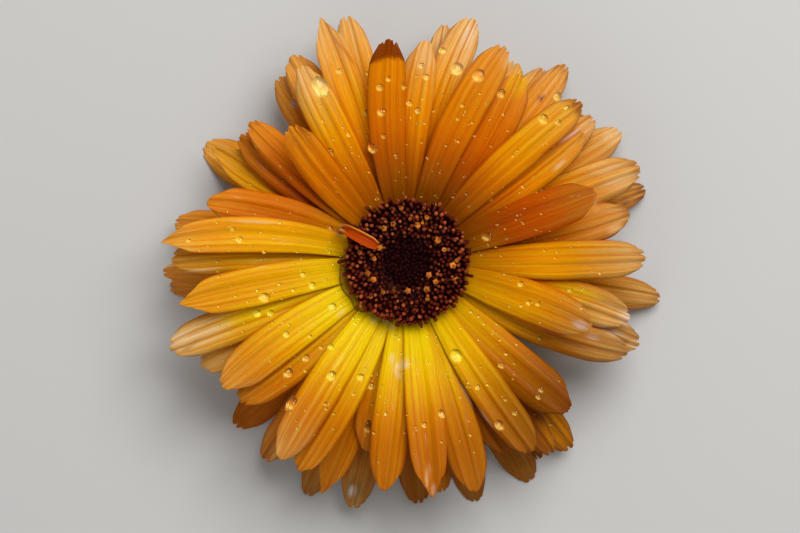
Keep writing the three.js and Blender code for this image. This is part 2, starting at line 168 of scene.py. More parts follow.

# Colours, linear: the florets' own pigment, with a white gleam for painted highlights and a bluish one for
# painted reflections of the sky
YELLOW = (0.88, 0.68, 0.002)
ORANGE = (0.80, 0.33, 0.001)
DEEP = (0.74, 0.175, 0.001)
SCARLET = (0.56, 0.075, 0.001)
RIM = (0.62, 0.12, 0.004)
PEACH = (0.74, 0.44, 0.13)
CREAM = (0.82, 0.62, 0.34)
BROWN = (0.22, 0.055, 0.008)
OLIVE = (0.23, 0.10, 0.006)
GLEAM = (0.90, 0.87, 0.84)
BLUISH_REFLECTION = (0.62, 0.68, 0.80)
PLUM = (0.16, 0.045, 0.06)
DULL = (0.17, 0.115, 0.045)
EMBER = (0.50, 0.07, 0.004)
UNDERSIDE = (0.80, 0.42, 0.03)
HOOD = (0.21, 0.038, 0.001)
HOODED = 94.5  # azimuth of the tip that is folded over, its red back up
WHITE = (1, 1, 1)

# Marks on the florets: x and y of the middle, length and width in pixels of the photograph,
# direction in degrees, colour and strength. Marks in plum, brown, ember and dull are the florets'
# own; marks in gleam and bluish are painted highlights and painted reflections; marks in cream,
# yellow, peach and orange are partly the florets' own paler colour and partly painted light on
# florets that lie in shade.
MARKS_AND_HIGHLIGHTS = [
    (347, 57, 46, 4, -52, EMBER, 0.5), (624, 201, 12, 8, 30, PLUM, 0.6), (637, 196, 20, 8, 20, PLUM, 0.45),
    (539, 100, 8, 6, 30, PLUM, 0.9), (574, 111, 18, 13, -60, BROWN, 0.6), (552, 148, 62, 5, 31, EMBER, 0.6),
    (567, 138, 26, 3, 34, GLEAM, 0.65), (556, 167, 16, 4, 40, GLEAM, 0.5),
    (567, 396, 54, 34, -60, BROWN, 0.75), (622, 317, 18, 14, -20, GLEAM, 0.55),
    (632, 345, 18, 13, -25, CREAM, 0.7), (575, 323, 16, 8, -20, BLUISH_REFLECTION, 0.6),
    (589, 335, 14, 6, -15, BLUISH_REFLECTION, 0.45), (609, 331, 28, 7, -22, GLEAM, 0.4),
    (560, 338, 52, 5, -24, PLUM, 0.5), (178, 316, 16, 8, 10, GLEAM, 0.5), (185, 336, 26, 8, 30, GLEAM, 0.55),
    (205, 331, 60, 24, 20, CREAM, 0.8), (196, 343, 22, 5, 35, DULL, 0.5), (165, 248, 14, 14, 0, CREAM, 0.6),
    (355, 487, 24, 20, 75, DULL, 0.7), (353, 489, 12, 8, 70, BLUISH_REFLECTION, 0.8), (402, 363, 20, 7, 20, GLEAM, 0.5),
    (393, 357, 7, 6, 0, GLEAM, 0.5), (398, 372, 12, 5, -50, GLEAM, 0.4), (258, 223, 44, 3, -3, CREAM, 0.5),
    (278, 450, 30, 10, 62, PEACH, 0.7), (269, 447, 26, 5, 66, PLUM, 0.25), (295, 106, 7, 6, 0, BLUISH_REFLECTION, 0.6),
    (540, 60, 20, 10, 72, CREAM, 0.5), (468, 40, 26, 12, 70, GLEAM, 0.35), (591, 205, 14, 7, -75, CREAM, 0.5),
    (344, 231, 14, 10, 40, CREAM, 0.3), (600, 170, 30, 12, 10, CREAM, 0.45), (205, 270, 40, 3, 8, GLEAM, 0.3),
    (170, 265, 16, 8, 10, CREAM, 0.5), (612, 232, 16, 12, 5, CREAM, 0.6), (427, 470, 22, 5, 85, CREAM, 0.5),
    (432, 484, 12, 5, 80, GLEAM, 0.35), (450, 120, 60, 5, 68, EMBER, 0.2), (461, 201, 16, 3, 40, BROWN, 0.8),
    (375, 317, 12, 5, -35, GLEAM, 0.45), (388, 322, 18, 4, -50, GLEAM, 0.4),
    (342, 312, 10, 4, 40, GLEAM, 0.4), (466, 393, 30, 3, -58, GLEAM, 0.35),
    (483, 414, 26, 3, -52, GLEAM, 0.3), (556, 432, 44, 30, -50, ORANGE, 0.45),
    (255, 312, 70, 16, 16, YELLOW, 0.6), (603, 314, 40, 16, -18, PEACH, 0.6),
    (515, 88, 32, 20, 62, YELLOW, 0.45), (506, 62, 22, 16, 66, CREAM, 0.45),
    (440, 44, 28, 12, 80, CREAM, 0.6), (463, 56, 40, 20, 75, CREAM, 0.35),
    (424, 61, 34, 18, 85, CREAM, 0.4), (612, 134, 26, 22, 40, CREAM, 0.6),
    (587, 127, 22, 15, 40, CREAM, 0.5), (616, 182, 36, 15, 22, CREAM, 0.45),
    (640, 292, 36, 14, -8, PEACH, 0.5), (573, 291, 52, 15, -15, YELLOW, 0.45),
]

# Painted shade: where a neighbour lies close over a floret, its colour is made deeper, as in the shade
# under it: rays that look for one, the height they start at, their slope and reach, and what is
# left of each primary colour.
SKY_RAYS = 8
SKY_START = 0.06
SKY_SLOPE = 0.6
SKY_REACH = 2.6
CREVICE_SHADE_TINT = (0.72, 0.42, 0.3)
CREVICE_SHADE_DEPTH = 0.9

# How yellow the florets are near the disc, from 0 to 1, by azimuth: partly their own colour and partly
# painted light, yellower on the side where they face the main light
WARMTH_AND_LIGHT = [
    (0, 0.36), (20, 0.06), (45, 0.0), (105, 0.04), (138, 0.06), (158, 0.42), (180, 0.78), (205, 0.95),
    (235, 1.0), (285, 0.96), (315, 0.66), (345, 0.48), (360, 0.36),
]


# Small helpers

def draw(index, salt):
    """A repeatable number from 0 to 1, the same as the solids use."""
    wave = math.sin(index * 12.9898 + salt * 78.233) * 43758.5453
    return wave - math.floor(wave)


def lerp(a, b, share):
    return a + (b - a) * share


def smooth(x):
    """0 below 0, 1 above 1, and an even turn between."""
    x = np.clip(x, 0, 1)
    return x * x * (3 - 2 * x)


def hump(x, width):
    """1 at 0, falling off to both sides."""
    return np.exp(-((x / width) ** 2))


def apart(azimuth, middle):
    """Degrees from a middle azimuth, for azimuths in radians."""
    return (np.degrees(azimuth) - middle + 180) % 360 - 180


def mixed(a, b, share):
    """Colour a turned into colour b by share, for arrays of points."""
    share = np.clip(share, 0, 1)[..., None]
    return np.asarray(a) * (1 - share) + np.asarray(b) * share


def waves(x, rng, count=4):
    """A wandering line from about -1 to 1, made of a few waves of random phase."""
    total = 0
    for k in range(count):
        total = total + np.sin(1.7**k * x + rng.uniform(0, 2 * math.pi)) / (1 + 0.6 * k)
    return total / 2


def grid(rows, columns):
    """Shares along a sheet, from 0 to 1, and across it, from -1 to 1."""
    return np.meshgrid(np.linspace(0, 1, rows + 1), np.linspace(-1, 1, columns + 1), indexing="ij")


def both(values):
    """The values of a sheet's points, for its lower and its upper side."""
    return np.concatenate([values.reshape(-1, 3)] * 2)


def spun(x, y, z, angle):
    """Points turned about the flower's axis."""
    c, s = math.cos(angle), math.sin(angle)
    return np.stack([x * c - y * s, x * s + y * c, z], -1)


def subdivided(section, parts):
    """The points of a section and more on the lines between them, but not its last point."""
    fine = []
    for (r0, z0), (r1, z1) in zip(section, section[1:]):
        fine += [(lerp(r0, r1, k / parts), lerp(z0, z1, k / parts)) for k in range(parts)]
    return fine


class Shape:
    """Vertices, faces and per-vertex values of one piece, gathered part by part."""

    def __init__(self):
        self.vertices = []
        self.faces = []
        self.painted_colour = []
        self.grain = []
        self.count = 0

    def add(self, vertices, faces, painted_colour, grain=None):
        vertices = np.asarray(vertices, float).reshape(-1, 3)
        self.vertices.append(vertices)
        self.faces.extend([[i + self.count for i in face] for face in faces])
        self.painted_colour.append(np.broadcast_to(np.asarray(painted_colour, float), vertices.shape))
        self.grain.append(vertices if grain is None else np.asarray(grain, float).reshape(-1, 3))
        self.count += len(vertices)

    def piece(self, name, material, node, slot):
        """The Blender object, riding on the flower and standing for a CAD node."""
        mesh = bpy.data.meshes.new(name)
        mesh.from_pydata((np.concatenate(self.vertices) * MM).tolist(), [], self.faces)
        # Per-vertex colour: the parts' own colour, and on the ray florets, the beds under the drops and the
        # disc tubes also painted shade, painted highlights and painted light
        painted_colour = np.concatenate(self.painted_colour)
        colours = mesh.attributes.new("painted_colour", "FLOAT_COLOR", "POINT")
        colours.data.foreach_set("color", np.c_[painted_colour, np.ones(len(painted_colour))].ravel())
        grain = mesh.attributes.new("grain", "FLOAT_VECTOR", "POINT")
        grain.data.foreach_set("vector", np.concatenate(self.grain).ravel())
        mesh.shade_smooth()
        mesh.materials.append(material)
        piece = bpy.data.objects.new(name, mesh)
        bpy.context.scene.collection.objects.link(piece)
        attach(piece, "root")
        if node:
            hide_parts(node)
        return piece


def sheet_faces(rows, columns):
    """Faces of a closed sheet: a lower grid of points, then an upper one, and the rim between."""
    layer = (rows + 1) * (columns + 1)
    at = np.arange(layer).reshape(rows + 1, columns + 1)
    a, b, c, d = at[:-1, :-1].ravel(), at[1:, :-1].ravel(), at[1:, 1:].ravel(), at[:-1, 1:].ravel()
    upper = np.stack([a, b, c, d], 1) + layer
    lower = np.stack([a, d, c, b], 1)
    edge = np.concatenate([at[:, 0], at[-1, 1:], at[-2::-1, -1], at[0, -2::-1]])
    rim = np.stack([edge[:-1], edge[1:], edge[1:] + layer, edge[:-1] + layer], 1)
    return np.concatenate([upper, lower, rim]).tolist()


def rings_of(section, angles, rib=1):
    """Rings of points round the axis, one for each point of a section."""
    section = np.asarray(section, float)
    radius = section[:, None, 0] * rib
    height = np.repeat(section[:, 1:2], len(angles), 1)
    return np.stack([radius * np.cos(angles), radius * np.sin(angles), height], -1)


def turned(section, segments):
    """Points and faces of a closed turned body; section runs from the axis out and back to it."""
    points = rings_of(section[1:-1], np.arange(segments) * 2 * math.pi / segments)
    ring = np.arange(segments)
    following = np.roll(ring, -1)
    faces = []
    for i in range(len(points) - 1):
        low, high = i * segments, (i + 1) * segments
        faces += np.stack([ring + low, following + low, following + high, ring + high], 1).tolist()
    bottom, top = len(points) * segments, len(points) * segments + 1
    last = (len(points) - 1) * segments
    faces += [[bottom, int(b), int(a)] for a, b in zip(ring, following)]
    faces += [[top, int(a) + last, int(b) + last] for a, b in zip(ring, following)]
    ends = [[0, 0, section[0][1]], [0, 0, section[-1][1]]]
    return np.concatenate([points.reshape(-1, 3), ends]), faces


# Materials

class Nodes:
    """A material's node tree, built line by line."""

    def __init__(self, name):
        self.material = bpy.data.materials.new(name)
        self.material.use_nodes = True
        self.tree = self.material.node_tree
        self.shader = self.tree.nodes["Principled BSDF"]

    def add(self, kind, inputs=(), **settings):
        node = self.tree.nodes.new("ShaderNode" + kind)
        for key, value in settings.items():
            setattr(node, key, value)
        for key, value in dict(inputs).items():
            self.put(node.inputs[key], value)
        return node

    def put(self, socket, value):
        if isinstance(value, bpy.types.NodeSocket):
            self.tree.links.new(value, socket)
        else:
            socket.default_value = value

    def finish(self, **values):
        for key, value in values.items():
            self.put(self.shader.inputs[key.replace("_", " ")], value)
        return self.material

    def grain(self):
        return self.add("Attribute", attribute_name="grain").outputs["Vector"]

    def painted_colour(self):
        return self.add("Attribute", attribute_name="painted_colour").outputs["Color"]

    def noise(self, vector, stretch, detail=3.0, roughness=0.55):
        """Noise over a vector whose axes are first stretched."""
        moved = self.add("VectorMath", {0: vector, 1: stretch}, operation="MULTIPLY")
        return self.add("TexNoise", {
            "Vector": moved.outputs[0], "Scale": 1.0, "Detail": detail, "Roughness": roughness,
        }).outputs["Fac"]

    def ramp(self, value, low, high, start=0.3, stop=0.7):
        ramp = self.add("ValToRGB", {"Fac": value})
        first, last = ramp.color_ramp.elements
        first.position, last.position = start, stop
        first.color, last.color = (*low, 1), (*high, 1)
        return ramp.outputs["Color"]

    def multiplied(self, a, b):
        mix = self.add("Mix", data_type="RGBA", blend_type="MULTIPLY")
        mix.inputs["Factor"].default_value = 1.0
        self.put(mix.inputs["A"], a)
        self.put(mix.inputs["B"], b)
        return mix.outputs["Result"]

    def math(self, operation, a, b):
        return self.add("Math", {0: a, 1: b}, operation=operation).outputs[0]

    def bump(self, height, strength, distance):
        return self.add("Bump", {
            "Height": height, "Strength": strength, "Distance": distance * MM,
        }).outputs["Normal"]


def petal_material():
    """Ray florets: lengthwise striae, faint mottling and a waxy, damp sheen."""
    n = Nodes("petal")
    grain = n.grain()
    broad = n.noise(grain, (9, 0.9, 5), 2.0)
    fine = n.noise(grain, (22, 1.3, 5), 4.0, 0.6)
    mottle = n.noise(grain, (14, 26, 5))
    colour = n.multiplied(n.painted_colour(), n.ramp(broad, (0.88, 0.74, 0.6), WHITE, 0.36, 0.62))
    colour = n.multiplied(colour, n.ramp(fine, (0.92, 0.84, 0.7), WHITE, 0.35, 0.6))
    colour = n.multiplied(colour, n.ramp(mottle, (0.95, 0.9, 0.84), WHITE, 0.35, 0.65))
    relief = n.math("ADD", fine, n.math("MULTIPLY", mottle, 0.35))
    damp = n.noise(grain, (5, 7, 5), 4.0, 0.6)
    return n.finish(
        Base_Color=colour, Roughness=0.32, Subsurface_Weight=0.35, Subsurface_Scale=0.6 * MM,
        Subsurface_Radius=(1.0, 0.4, 0.05), Specular_IOR_Level=0.03, Normal=n.bump(relief, 0.4, 0.08),
        Coat_Weight=n.ramp(damp, (0, 0, 0), (0.3, 0.3, 0.3), 0.6, 0.72), Coat_Roughness=0.1,
    )


def skin_material(name, stretch, dark, strength, distance, **skin):
    """A skin with one grain, which darkens its pigment and gives it a relief."""
    n = Nodes(name)
    speckle = n.noise(n.grain(), stretch)
    colour = n.multiplied(n.painted_colour(), n.ramp(speckle, dark, WHITE))
    return n.finish(Base_Color=colour, Normal=n.bump(speckle, strength, distance), **skin)


def floret_material():
    """Disc florets: dark waxy tubes, finely grained."""
    return skin_material(
        "disc_floret", (5, 5, 2.2), (0.5, 0.42, 0.4), 0.5, 0.06, Roughness=0.4,
        Subsurface_Weight=0.08, Subsurface_Scale=0.3 * MM, Specular_IOR_Level=0.03,
    )


def green_material():
    """Bracts and stalk: green skin with lengthwise streaks."""
    return skin_material(
        "green_skin", (16, 2, 5), (0.6, 0.72, 0.5), 0.4, 0.08, Roughness=0.55,
        Subsurface_Weight=0.1, Subsurface_Scale=0.4 * MM, Sheen_Weight=0.15,
    )


def water_material():
    """Rain: clear water whose skin is not quite even."""
    n = Nodes("rain_water")
    wobble = n.noise(n.grain(), (1.6, 1.6, 1.6), 2.0)
    return n.finish(
        Base_Color=(1, 1, 1, 1), Roughness=0.0, IOR=1.333, Transmission_Weight=1.0,
        Normal=n.bump(wobble, 0.3, 0.05),
    )


# Ray florets

def outline(t, end, shoulder):
    """Width of a floret along its length, as a share."""
    swell = np.sin(math.pi / 2 * np.minimum(1, t / WIDEST)) ** SWELL
    past = np.maximum(0, (t - WIDEST) / (1 - WIDEST))
    return lerp(ROOT_SHARE, 1, swell) * np.sqrt(1 - (1 - end * end) * past**shoulder)


def tip_back(form, u, rng):
    """How far the tip's outline lies back at u across, with nicks that differ a little."""
    _, _, corner, square, _, _, nicks = TIPS[form]
    back = corner * np.abs(u) ** square
    chance = [(place, rng.uniform(0.05, 0.2)) for place in rng.uniform(-0.9, 0.9, 4)]
    for middle, depth in nicks + chance:
        middle = middle + rng.uniform(-0.12, 0.12)
        nick = hump(u - middle, rng.uniform(0.05, 0.10))
        back = back + depth * rng.uniform(0.6, 1.35) * nick
    return back


def centre_line(ray, along):
    azimuth = np.radians(lerp(ray["root"], ray["tip"], np.maximum(0, along) ** 1.3))
    radius = lerp(ROOT_RADIUS, ray["reach"], along)
    return np.stack([radius * np.cos(azimuth), radius * np.sin(azimuth)], -1)


def landed(height, floor):
    """Heights, with what would pass below the floor bent flat on to it."""
    over = height - floor + SOFT_LANDING
    bent = floor + over**2 / (4 * SOFT_LANDING)
    return np.where(over <= 0, floor, np.where(over >= 2 * SOFT_LANDING, height, bent))


def ray_height(ray, rng, t, u, out):
    """Height and steepness of a floret, how deep its creases are, and where they run."""
    form_cup, ridges = TIPS[ray["form"]][4:6]
    tier = ray["tier"] / TOP_TIER
    start, bend = lerp(*SLOPE, tier), lerp(*BEND, tier)
    height = LOWEST_ROOT + TIER_STEP * ray["tier"] + start * out - bend * out**2 / 2
    rise = np.clip((t - LIFT_STARTS) / (1 - LIFT_STARTS), 0, 1)
    grown = np.minimum(1, 1.6 * t)
    wave = np.cos(2 * math.pi * ridges * u) * (1 if ridges > 1 else -1)
    cup = form_cup * lerp(*CUPPING, draw(ray["index"], 1)) * u**2 * t
    roll = lerp(-ROLL, ROLL, draw(ray["index"], 2)) * u * t
    drift = 0.35 * waves(3 * t, rng)
    groove = np.cos(2 * math.pi * CREASES * u + drift + rng.uniform(-0.4, 0.4))
    furrow = np.clip(-groove, 0, 1) ** 2
    depth = rng.uniform(0.4, 1.3)
    creases = (-CREASE_DEPTH * furrow + 0.02 * groove) * depth
    striae = STRIA_HEIGHT * np.sin(34 * u + 2 * waves(4 * t, rng))
    ripple = RIPPLE * np.abs(u) ** 3 * np.where(u < 0, waves(11 * t, rng), waves(11 * t, rng)) * t
    sway = SWAY * waves(5 * t, rng) * t
    height = height + ray["lift"] * rise**2 + RIDGE * wave * grown + cup + roll
    height = height + (creases + striae) * grown + ripple + sway
    steepness = start - bend * out + 2 * ray["lift"] * rise / (ray["reach"] - ROOT_RADIUS)
    return landed(height, HALF_BLADE), steepness, depth, furrow * grown


def hue_of(ray, rng, azimuth, radius, streak):
    """From 0, deep orange, to 1, yellow: near the disc on one side of the flower, else outwards. By the disc,
    the yellow on the side facing the main light is partly painted light; the extra yellow on the higher
    florets at the left is painted light.
    """
    warm_and_lit = np.interp(np.degrees(azimuth) % 360, *np.transpose(WARMTH_AND_LIGHT))
    yellowing = 0.34 * smooth((radius - 13) / 10)
    fading = 1 - 0.85 * smooth((radius - 10.2) / 14)
    own = 0.06 * ray["peach"] - 0.2 * ray["red_light_and_shade"] + rng.uniform(-0.06, 0.06)
    left = hump(apart(azimuth, 192), 30)
    # Painted light: the higher florets on the left are made yellower
    high = ray["tier"] / TOP_TIER * 0.34 * warm_and_lit * smooth((radius - 14) / 9) * left
    hue = lerp(yellowing + 0.05, fading + 0.03, warm_and_lit) + 0.09 * streak
    return hue + own * smooth((radius - 10) / 8) + high


def painted_shade_of(ray, azimuth, radius):
    """Painted shade, how much darker the colour is made: by the disc at the upper right, at the lower right
    tips, and on the redder florets.
    """
    tier = ray["tier"] / TOP_TIER
    near = (0.5 + 0.5 * np.cos(azimuth - math.radians(68))) ** 1.5
    painted_shade = 0.62 * near * (1 - smooth((radius - 8) / 11))
    far = (0.5 - 0.5 * np.cos(azimuth - math.radians(115))) ** 1.8
    painted_shade = painted_shade + lerp(0.55, 0.36, tier) * far * smooth((radius - 14) / 12) + 0.05
    high = hump(apart(azimuth, 316), 20)
    return painted_shade + 0.26 * tier * high * smooth((radius - 11) / 9) + 0.14 * max(0, ray["red_light_and_shade"])


def marked_and_highlighted(colour, x, y, streak):
    """The colour of a floret with the marks that lie over it: its own marks, painted highlights and
    reflections, and painted light.
    """
    for column, row, long, wide, direction, tint, strength in MARKS_AND_HIGHLIGHTS:
        turn = math.radians(direction)
        right = x - (column - DISC_PIXEL[0]) * PIXEL
        up = y + (row - DISC_PIXEL[1]) * PIXEL
        ahead = (right * math.cos(turn) + up * math.sin(turn)) / (long * PIXEL / 2)
        beside = (up * math.cos(turn) - right * math.sin(turn)) / (wide * PIXEL / 2)
        spot = np.exp(-((ahead**2 + beside**2) ** 2)) * smooth(0.8 + 0.8 * streak)
        colour = mixed(colour, tint, strength * spot)
    return colour


def ray_colour(ray, rng, t, u, x, y, depth, crease_shade):
    """Colour of a floret's upper side: its pigment, with painted shade, painted highlights and painted light
    laid over it.
    """
    azimuth = np.arctan2(y, x)
    radius = np.hypot(x, y)
    streak = waves(11 * u, rng, 5) + 0.3 * waves(5 * t, rng)
    hue = hue_of(ray, rng, azimuth, radius, streak)
    colour = mixed(DEEP, ORANGE, hue / 0.4)
    colour = mixed(colour, YELLOW, (hue - 0.4) / 0.6)
    # Scarlet over the redder florets: partly their own colour, partly painted shade
    scarlet = smooth((t - 0.1) / 0.3) * (1 - 0.9 * smooth((t - 0.6) / 0.35))
    colour = mixed(colour, SCARLET, max(0, ray["red_light_and_shade"]) * 0.8 * scarlet)
    # Painted shade in the creases, which also keeps the peach out of them
    colour = mixed(colour, DEEP, 0.45 * depth * crease_shade)
    peach = ray["peach"] * smooth((t - 0.56 + 0.09 * streak) / 0.42)
    colour = mixed(colour, PEACH, peach * (1 - 0.45 * crease_shade))
    pale = ray["peach"] * smooth((t - 0.8 + 0.12 * waves(9 * u + 4 * t, rng)) / 0.2)
    colour = mixed(colour, CREAM, 0.6 * pale * smooth(0.5 + waves(16 * u, rng)))
    margin = smooth((np.abs(u) - 0.88) / 0.1) * (0.45 + 0.4 * draw(ray["index"], 3))
    colour = mixed(colour, RIM, margin * smooth((t - 0.2) / 0.3) * (1 - 0.5 * ray["peach"]))
    browned = ray["brown"] * smooth((t - 0.93 + 0.03 * streak) / 0.07)
    colour = mixed(colour, BROWN, 0.8 * browned)
    # Painted shade laid over the colour
    colour = colour * (1 - painted_shade_of(ray, azimuth, radius))[..., None]
    # Own marks, painted highlights, painted reflections and painted light
    colour = marked_and_highlighted(colour, x, y, streak)
    folded = smooth((t - 0.875 + 0.022 * u) / 0.03) * (ray["tip"] == HOODED)
    return mixed(colour, HOOD, 0.95 * folded)


def ray_sheet(ray):
    """Lower and upper points of a ray floret, its colour with painted shade and highlights laid over it, and
    its grain.
    """
    rng = np.random.default_rng(SEEDS["ray"] + ray["index"])
    share, u = grid(RAY_ROWS, RAY_COLUMNS)
    t = 1 - (1 - share) ** 1.3
    end, shoulder = TIPS[ray["form"]][:2]
    tip_share = np.clip((t - TIP_STARTS) / (1 - TIP_STARTS), 0, 1) ** 2
    along = t - tip_back(ray["form"], u, rng) * tip_share / (ray["reach"] - ROOT_RADIUS)
    centre = centre_line(ray, along)
    ahead = centre_line(ray, along + 0.01) - centre_line(ray, along - 0.01)
    ahead /= np.linalg.norm(ahead, axis=-1, keepdims=True)
    wobble = 1 + WOBBLE * np.where(u < 0, waves(9 * t, rng), waves(9 * t, rng))
    across = u * ray["width"] / 2 * outline(t, end, shoulder) * wobble
    x = centre[..., 0] - ahead[..., 1] * across
    y = centre[..., 1] + ahead[..., 0] * across
    out = np.linalg.norm(centre, axis=-1) - ROOT_RADIUS
    height, steepness, depth, crease_shade = ray_height(ray, rng, t, u, out)
    rim = np.sqrt(np.clip((1 - np.abs(u) ** 6) * (1 - t**30), 0, 1))
    half = (HALF_EDGE + (HALF_BLADE - HALF_EDGE) * rim) * np.hypot(1, steepness)
    lower = np.stack([x, y, np.maximum(0, height - half)], -1)
    upper = np.stack([x, y, height + half], -1)
    colour = ray_colour(ray, rng, t, u, x, y, depth, crease_shade)
    under = mixed(colour, UNDERSIDE, 0.5)
    grain = np.stack([u * ray["width"] / 5, t, np.full(t.shape, ray["index"] * 1.37)], -1)
    points = np.stack([lower, upper]).reshape(-1, 3)
    return points, np.stack([under, colour]).reshape(-1, 3), both(grain)


def closeness(points, tree):
    """How much of the sky over each point its neighbours take, from 0 to 1."""
    angles = [2 * math.pi * k / SKY_RAYS for k in range(SKY_RAYS)]
    sky = [Vector((math.cos(a), math.sin(a), SKY_SLOPE)).normalized() for a in angles]
    taken = []
    for x, y, z in points.tolist():
        start = Vector((x, y, z + SKY_START))
        taken.append(sum(tree.ray_cast(start, way, SKY_REACH)[0] is not None for way in sky))
    return np.array(taken) / SKY_RAYS


def ray_florets(material):
    """The ray florets in three pieces; returns their surface as a tree, its faces and its colours, painted
    shade included.
    """
    faces = sheet_faces(RAY_ROWS, RAY_COLUMNS)
    surface = Shape()
    sheets = []
    for index, row in enumerate(RAY_FLORETS):
        ray = dict(zip(RAY_FIELDS, row), index=index)
        sheets.append((ray["tier"], *ray_sheet(ray)))
        surface.add(sheets[-1][1], faces, sheets[-1][2])
    tree = BVHTree.FromPolygons(np.concatenate(surface.vertices).tolist(), surface.faces)
    shapes = {"low": Shape(), "middle": Shape(), "top": Shape()}
    painted_colours = []
    for tier, points, painted_colour, grain in sheets:
        layer = "low" if tier < MIDDLE_FROM else "middle" if tier < TOP_FROM else "top"
        half = len(points) // 2
        # Painted shade where neighbours lie close over the upper side
        crevice_shade = closeness(points[half:], tree)[:, None] * CREVICE_SHADE_DEPTH
        painted_colour[half:] = painted_colour[half:] * (1 - crevice_shade + crevice_shade * np.array(CREVICE_SHADE_TINT))
        shapes[layer].add(points, faces, painted_colour, grain)
        painted_colours.append(painted_colour)
    for layer, shape in shapes.items():
        shape.piece("ray_florets_" + layer, material, "ray_florets", "orange_petal")
    return tree, surface.faces, np.concatenate(painted_colours)


# The rolled floret that folds in over the disc: radius and height along it, and the colours of its
# back, its edge, its crease and its fold; the lighter upper edge is painted light, the fold a
# painted highlight
STRAY_AZIMUTH = 152
STRAY_WIDTH = 1.5
STRAY_HALF = 0.13  # half the thickness
STRAY_PATH = [(6.9, 9.6), (8.6, 10.6), (9.1, 12.4), (8.2, 14.2), (6.4, 14.9), (4.3, 14.6)]
STRAY_COLOURS = [(0.44, 0.062, 0.002), (0.80, 0.34, 0.06), (0.34, 0.04, 0.002), (0.85, 0.42, 0.14)]

# The ring of tubes at the feet of the ray florets: radius and height, and colours of foot and crown
COLLAR = [(5.3, 6.6), (6.9, 6.6), (7.3, 7.4), (7.3, 9.7), (7.0, 10.3), (6.2, 10.3)]
COLLAR_TUBES = 60
COLLAR_COLOURS = [(0.42, 0.40, 0.12), (0.68, 0.36, 0.02)]


def along_path(path, t):
    """Points on a smooth line through a path at shares t of its length."""
    path = np.asarray(path, float)
    padded = np.concatenate([2 * path[:1] - path[1:2], path, 2 * path[-1:] - path[-2:-1]])
    place = t * (len(path) - 1)
    first = np.clip(np.floor(place).astype(int), 0, len(path) - 2)
    s = (place - first)[..., None]
    a, b, c, d = (padded[first + k] for k in range(4))
    return 0.5 * (2 * b + (c - a) * s + (2 * a - 5 * b + 4 * c - d) * s**2 + (3 * b - a - 3 * c + d) * s**3)


def stray_floret(material):
    """The rolled ray floret that folds in over the disc."""
    rng = np.random.default_rng(SEEDS["stray"])
    rows, columns = 40, 14
    t, u = grid(rows, columns)
    middle = along_path(STRAY_PATH, t)
    tangent = along_path(STRAY_PATH, np.minimum(t + 0.01, 1))
    tangent -= along_path(STRAY_PATH, np.maximum(t - 0.01, 0))
    tangent /= np.linalg.norm(tangent, axis=-1, keepdims=True)
    width = STRAY_WIDTH / 2 * lerp(0.5, 1.0, smooth((t - 0.35) / 0.35))
    width = width * np.sqrt(1 - 0.6 * smooth((t - 0.85) / 0.15) ** 2)
    cupped = 0.55 * u**2 + 0.05 * np.cos(3 * math.pi * u) + 0.05 * waves(8 * t, rng) * np.abs(u)
    across = u * width * (1 + 0.05 * waves(7 * t, rng))
    half = STRAY_HALF * np.sqrt(np.clip(1.08 - u**6, 0, 1))
    sides = []
    for off in (-half - cupped, half - cupped):
        out = middle[..., 0] - tangent[..., 1] * off
        up = middle[..., 1] + tangent[..., 0] * off
        sides.append(spun(out, across, up, math.radians(STRAY_AZIMUTH)))
    back, edge, crease, fold_highlight = STRAY_COLOURS
    # Painted light on the upper edge
    colour = mixed(back, edge, smooth((-u - 0.7) / 0.16))
    colour = mixed(colour, crease, 0.5 * smooth((0.25 - np.abs(u)) / 0.2))
    # Painted highlight where the floret folds
    colour = mixed(colour, fold_highlight, 0.9 * hump(t - 0.42, 0.09) * smooth((np.abs(u) - 0.15) / 0.3))
    grain = np.stack([u * 0.4, t, np.full(t.shape, 91.0)], -1)
    shape = Shape()
    shape.add(np.stack(sides), sheet_faces(rows, columns), both(colour), both(grain))
    shape.piece("stray_floret", material, "ray_florets", "orange_petal")


def collar(material):
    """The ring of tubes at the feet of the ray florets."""
    segments = COLLAR_TUBES * 6
    angles = np.arange(segments) * 2 * math.pi / segments
    rib = 1 - 0.012 * (1 - np.abs(np.cos(COLLAR_TUBES / 2 * angles)))
    points = rings_of(subdivided(COLLAR + COLLAR[:1], 4), angles, rib)
    ring = np.arange(points[..., 0].size).reshape(points.shape[:2])
    above = np.roll(ring, -1, 0)
    quads = np.stack([ring, np.roll(ring, -1, 1), np.roll(above, -1, 1), above], -1).reshape(-1, 4)
    colour = mixed(*COLLAR_COLOURS, smooth((points[..., 2] - 7.2) / 2.5))
    shape = Shape()
    shape.add(points, quads.tolist(), colour.reshape(-1, 3))
    shape.piece("floret_collar", material, "ray_florets", "orange_petal")


# Disc florets
DISC_CORE = [
    (0, 6.6), (4.9, 6.6), (5.8, 10.2), (6.1, 10.8), (7.4, 11.3), (7.8, 11.8), (7.4, 12.2),
    (5.9, 12.5), (4, 12.1), (2, 11.7), (0, 11.5),
]
DISC_FACE = np.array(DISC_CORE[:4:-1])
DISC_FLORETS = 640
DISC_SPREAD = 7.3
DISC_LEAN = 52
TILT = 0.13  # spread of the florets' own tilt, and of the open ones'
OPEN_TILT = 0.35
BUD_ZONE = 2.9  # radius of the closed, darkest middle
CORE_SHARE = 0.96  # of the solid's radius, so that the florets stand further out of the core
FLORET_SIDES = 10

# Rows of florets round the disc's rim: radius and height of the foot, lean in degrees, and shift
RIM_FLORETS = 58
RIM_STRETCH = 0.85
RIM_ROWS = [(6.95, 11.9, 58, 0), (6.85, 11.62, 76, 0.5), (6.55, 11.4, 92, 0)]

